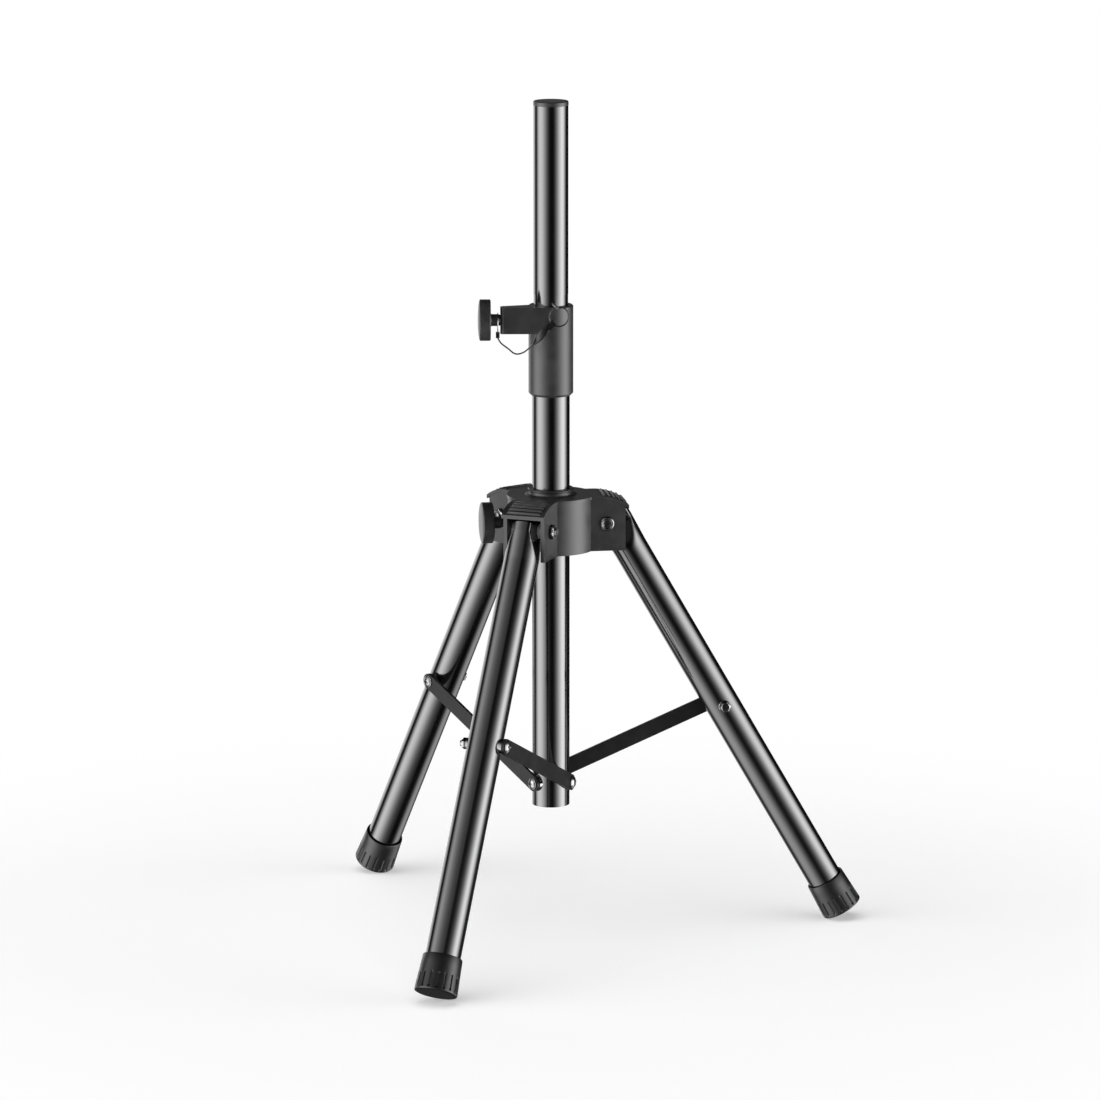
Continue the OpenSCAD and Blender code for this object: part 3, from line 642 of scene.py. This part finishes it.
trees = dict(setOut=makeSetOut(), pressedTube=makePressedTube(), gripFoot=makeGripFoot(), wireRing=makeWireRing())


def setOut(name, pattern, places, slot, body, *replaced):
    # a copy of the pattern at each of the places, as one piece
    source = addObject(name + "_pattern", pattern)
    points = bpy.data.meshes.new(name)
    points.from_pydata([place.to_translation() for place in places], [], [])
    turns = points.attributes.new("turn", "FLOAT_VECTOR", "POINT")
    for turn, place in zip(turns.data, places):
        turn.vector = place.to_euler()
    piece = grow(name, points, trees["setOut"], Pattern=source, Finish=finishes[slot])
    bpy.data.objects.remove(source)
    dressPiece(piece, slot, body, *replaced)


# Legs and feet

footShape = dict(
    sole=21.5, rim=19.75, high=37, chamfer=1.2, bore=17.5, floor=5, relief=18.4, reliefHigh=6, edge=0.35,
    rows=22, rowsPast=3, waist=28, lipEdge=0.6, around=288, sharpFrom=50,
    grooves=18, wide=2.0, deep=1.2, soft=0.45, low=3.0, top=17.0,
)


def footProfile(look):
    sole, rim, high, bore, relief = look["sole"], look["rim"], look["high"], look["bore"], look["relief"]
    chamfer, edge, lip = look["chamfer"], look["edge"], look["lipEdge"]
    grip = look["top"] + look["rowsPast"] - chamfer  # close rows as far as the grooves reach
    levels = [chamfer + grip * k / look["rows"] for k in range(look["rows"] + 1)] + [look["waist"], high - 0.8]
    under = [(0, 0), (sole - chamfer - 3, 0), (sole - chamfer, 0), (sole - edge, 0.4)]
    side = [(sole + (rim - sole) * z / high, z) for z in levels]
    top = [(rim - 0.15, high - 0.25), (rim - lip, high), (relief + 0.3, high), (relief, high - 0.3)]
    step = high - look["reliefHigh"]
    inside = [(relief, step), (bore, step - 0.1), (bore, look["floor"]), (0, look["floor"])]
    return under + side + top + inside


for n in (1, 2, 3):
    leg, shape, look = legFrame(n), legShape, footShape
    values = dict(
        Around=shape["around"], Along=shape["along"], Radius=shape["radius"], Offset=shape["offset"],
        Length=shape["length"], RoundEnd=shape["roundEnd"], Press=shape["press"], PressTo=shape["pressTo"],
        Flare=shape["flare"], Clear=shape["clear"], Soft=shape["soft"], Widen=shape["widen"],
        Finish=finishes["black_gloss_paint"])
    start = bpy.data.meshes.new("legTube")
    tube = grow(f"legTube_{n}", start, trees["pressedTube"], leg, shape["wall"], shape["sharpFrom"], **values)
    dressPiece(tube, "black_gloss_paint", f"leg_{n}", f"leg_tube_{n}")
    values = dict(
        Grooves=look["grooves"], Wide=look["wide"], Deep=look["deep"], Soft=look["soft"], Low=look["low"],
        High=look["top"], Inner=look["bore"] + 1, Finish=finishes["black_rubber"])
    blank = turned("foot", footProfile(look), look["around"])
    place = leg @ Matrix.Translation((shape["offset"] * mm, 0, -shape["footAt"] * mm))
    foot = grow(f"legFoot_{n}", blank, trees["gripFoot"], place, 0, look["sharpFrom"], **values)
    dressPiece(foot, "black_rubber", f"leg_{n}", f"leg_foot_{n}")
print("legs and feet")


# Knobs: a disc with a domed face, its neck and the taper to the screw

knobShape = dict(radius=20.75, thick=13, dome=2.4, edge=1.6, neck=6, neckLong=8, taper=3.5, screw=4.4)


def knobMesh(look):
    radius, rim, dome = look["radius"], look["thick"] - look["dome"], look["dome"]
    root, neck, tip = -look["neckLong"], look["neck"], -look["neckLong"] - look["taper"]
    body = [(0, tip), (look["screw"], tip), (neck, root), (neck, 0), (radius, 0), (radius, rim)]
    turns = [math.radians(a) for a in range(10, 90, 8)]
    face = [(radius * math.cos(turn), rim + dome * math.sin(turn)) for turn in turns]
    profile = rounded(body + face[:1], look["edge"], 5)[:-1] + face + [(0, look["thick"])]
    return turned("knob", profile, 96, None, 50)


for name in ("collar_knob", "hub_knob"):
    joint = joints[name + "_turn"]
    setOut(name + "_disc", knobMesh(knobShape), [facing(joint["pos_m"], joint["axis"])], slots[name], name, name)
print("knobs")


# Screws, nuts and bolts

headShape = dict(
    wide=6.3, thick=3.4, flange=1.0, dome=5.8, shank=3, cross=2.9, arm=0.95, deep=1.6, wall=0.25, edge=0.3,
    braceLong=3, braceAt=23.5, pivotLong=12, pivotAt=23.8,
)
hingeShape = dict(
    head=7.2, thick=2.6, shank=4, long=50, socket=2.48, edge=0.35, rim=1.9, dish=1.1, floor=0.3, sunk=0.05,
    arm=22, recess=1.2,
)
hingeNutShape = dict(half=6.4, thick=5, crown=5.3, crownAt=6.2, bolt=3.9, boltAt=5.7)
braceNutShape = dict(
    half=5.1, thick=4.3, crown=4.1, crownAt=5.5, bolt=3, boltAt=7, washer=6.1, washerLong=4, seat=18.7,
)
nutEdge = dict(foot=0.15, footAt=0.25, turned=0.7, corner=0.3, cornerIn=0.1, face=0.97, crown=0.3, bolt=0.5)


def crossHead(look, shank):
    # a domed head with a flange and a cross recess
    inner, rise = look["dome"], look["thick"] - look["flange"]
    ball = (inner ** 2 + rise ** 2) / (2 * rise)

    def recess(x, y, height):
        if height < look["flange"]:
            return 0
        near, far = sorted((abs(x), abs(y)))
        beside = ease(look["arm"] - look["wall"], look["arm"] + look["wall"], near)
        beyond = ease(look["cross"] - 0.3, look["cross"] + 0.5, far)
        return look["deep"] * (1 - beside) * (1 - beyond)

    steps = [inner * k / 20 for k in range(20, -1, -1)]
    dome = [(r, look["thick"] - ball + math.sqrt(ball ** 2 - r ** 2)) for r in steps]
    under = [(0, -shank), (look["shank"], -shank), (look["shank"], 0)]
    body = under + [(look["wide"], 0), (look["wide"], look["flange"])]
    return turned("crossHead", rounded(body + dome[:1], look["edge"])[:-1] + dome, 96, recess, 34)


def hingeHead(look):
    # a round head whose rim stands round a hex socket
    head, top, socket, shank, seat = look["head"], look["thick"], look["socket"], look["shank"], -look["sunk"]
    inner, dish = head - look["rim"], top - look["dish"]
    body = [(0, -look["long"]), (shank, -look["long"]), (shank, seat), (head, seat), (head, top - 0.9)]
    rim = [(head - 1.1, top), (inner, top), (inner - 1, dish), (socket + 0.7, dish)]
    hexagon = [(socket + 0.5, dish, 6), (socket, dish - 0.4, 6), (socket, look["floor"], 6), (0, look["floor"])]
    return turned("hingeHead", rounded(body + rim, look["edge"])[:-1] + hexagon, 96)


def hexNut(name, below, look):
    # a nut with turned-off corners, and the bolt's end in it
    edge, half, thick = nutEdge, look["half"], look["thick"]
    crown, crownAt, bolt, boltAt = look["crown"], look["crownAt"], look["bolt"], look["boltAt"]
    flats = [(half - edge["foot"], 0, 6), (half, edge["footAt"], 6), (half, thick - edge["turned"], 6),
             (half - edge["cornerIn"], thick - edge["corner"], 6), (half * edge["face"], thick)]
    collar = [(crown + edge["crown"], thick + 0.05), (crown, thick + edge["crown"]), (crown, crownAt - edge["crown"]),
              (crown - edge["crown"], crownAt), (bolt + 0.25, crownAt)]
    end = [(bolt, crownAt - 0.35), (bolt, boltAt - edge["bolt"]), (bolt - edge["bolt"], boltAt), (0, boltAt)]
    return turned(name, below + flats + collar + end, 96, None, 28)


def braceNut(look):
    washer, low = look["washer"], -look["washerLong"]
    return hexNut("braceNut", [(0, low), (washer, low), (washer, -0.3), (washer - 0.3, 0)], look)


arms = {n: (Vector(joints[f"leg_fold_{n}"]["pos_m"]), Vector(joints[f"leg_fold_{n}"]["axis"])) for n in (1, 2, 3)}
arm, seat = hingeShape["arm"] * mm, (hingeShape["arm"] - hingeShape["recess"]) * mm
heads = [facing(pos - axis * arm, -axis) for pos, axis in arms.values()]
setOut("hinge_heads", hingeHead(hingeShape), heads, "dark_chrome", "hub", "hinge_bolts")
seats = [facing(pos + axis * seat, axis, (0.35, 0.2, 1)) for pos, axis in arms.values()]
setOut("hinge_hexes", hexNut("hingeNut", [(0, 0)], hingeNutShape), seats, "dark_chrome", "hub", "hinge_nuts")
pivots = []
for n, (pos, axis) in arms.items():
    swing = Vector(joints[f"brace_swing_{n}"]["pos_m"])
    pivots.append(facing(swing + axis * headShape["pivotAt"] * mm, axis, (0.3, 0.3, 1)))
    bolt = legFrame(n) @ Matrix.Translation((legShape["offset"] * mm, 0, -legShape["braceAt"] * mm))
    outer = facing(bolt @ Vector((0, headShape["braceAt"] * mm, 0)), axis, (0.5, 0.1, 1))
    head = crossHead(headShape, headShape["braceLong"])
    setOut(f"brace_head_{n}", head, [outer], "dark_chrome", f"brace_{n}", f"brace_screw_{n}")
    inner = facing(bolt @ Vector((0, -braceNutShape["seat"] * mm, 0)), -axis, (0.4, -0.2, 1))
    setOut(f"brace_hex_{n}", braceNut(braceNutShape), [inner], "dark_chrome", f"leg_{n}", f"brace_nut_{n}")
head = crossHead(headShape, headShape["pivotLong"])
setOut("pivot_heads", head, pivots, "dark_chrome", "stand", "pivot_screws")
print("screws, nuts and bolts")


# Ring on the hub's deck, ribs on the arm roofs

ringShape = dict(
    inside=19.5, outside=22.2, lip=23.3, low=453.3, high=459.9, edge=0.5, lipEdge=0.7, lipLow=1.8, lipFrom=2.6,
    skirt=26.5, skirtEdge=1.2, skirtHigh=1.1, fillet=0.5, filletHigh=2,
)
ribShape = dict(
    count=5, first=8, pitch=6.2, base=50, roof=53.72, start=46, deck=453.406, radius=1.0, proud=0.75, half=16.5,
    around=20,
)


def hubRing(look):
    inside, outside, lip, low, high = (look[key] for key in ("inside", "outside", "lip", "low", "high"))
    skirt = [(look["skirt"], low), (look["skirt"] - look["skirtEdge"], low + look["lipEdge"]),
             (outside + look["fillet"], low + look["skirtHigh"]), (outside, low + look["filletHigh"])]
    edge = [(outside, high - look["lipFrom"]), (lip, high - look["lipLow"]), (lip, high - look["lipEdge"]),
            (lip - look["lipEdge"], high), (inside + look["edge"], high), (inside, high - look["edge"])]
    return turned("hubRing", [(inside, low)] + skirt + edge, 96, None, 50)


def ribMesh(look):
    radius, half = look["radius"], look["half"] - look["radius"]
    turns = [math.radians(a) for a in (0, 30, 60, 90)]
    ends = [(radius * math.sin(turn), radius * math.cos(turn)) for turn in turns]
    lower = [(r, -h - half) for r, h in reversed(ends)]
    return turned("rib", [(r, h + half) for r, h in ends] + lower, look["around"])


def ribPlaces(look):
    places, reach = [], look["roof"] + look["proud"]
    for pos, axis in arms.values():
        out = axis.cross(Vector((0, 0, 1)))
        for k in range(look["count"]):
            turn = math.radians((look["first"] + look["pitch"] * k) * look["base"] / look["roof"])
            height = look["deck"] - look["roof"] + reach * math.cos(turn)
            aside = out * (look["start"] + reach * math.sin(turn))
            places.append(facing(aside * mm + Vector((0, 0, height * mm)), axis))
    return places


setOut("hub_ring", hubRing(ringShape), [Matrix.Identity(4)], "black_plastic", "hub")
setOut("roof_ribs", ribMesh(ribShape), ribPlaces(ribShape), "black_plastic", "hub")


# Wire rings: the pull ring on the safety pin and the lanyard's loop on the knob's neck


def wireRing(name, normal, wire, body, finish):
    low, high = (Vector(corner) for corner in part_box(name))
    values = dict(Ring=(high.z - low.z) / 2 - wire * mm, Wire=wire * mm, Finish=finishes[finish])
    place = facing((low + high) / 2, normal)
    ring = grow(name + "_wire", bpy.data.meshes.new(name), trees["wireRing"], place, **values)
    outwards(ring.data)
    dressPiece(ring, slots[name], body, name, finish=finish)


wireRing("pull_ring", (0, 1, 0), 0.7, "pin", "dark_wire")
wireRing("lanyard_loop", joints["collar_knob_turn"]["axis"], 0.5, "stand", "bright_steel")
print("hub ring, ribs and wire rings")
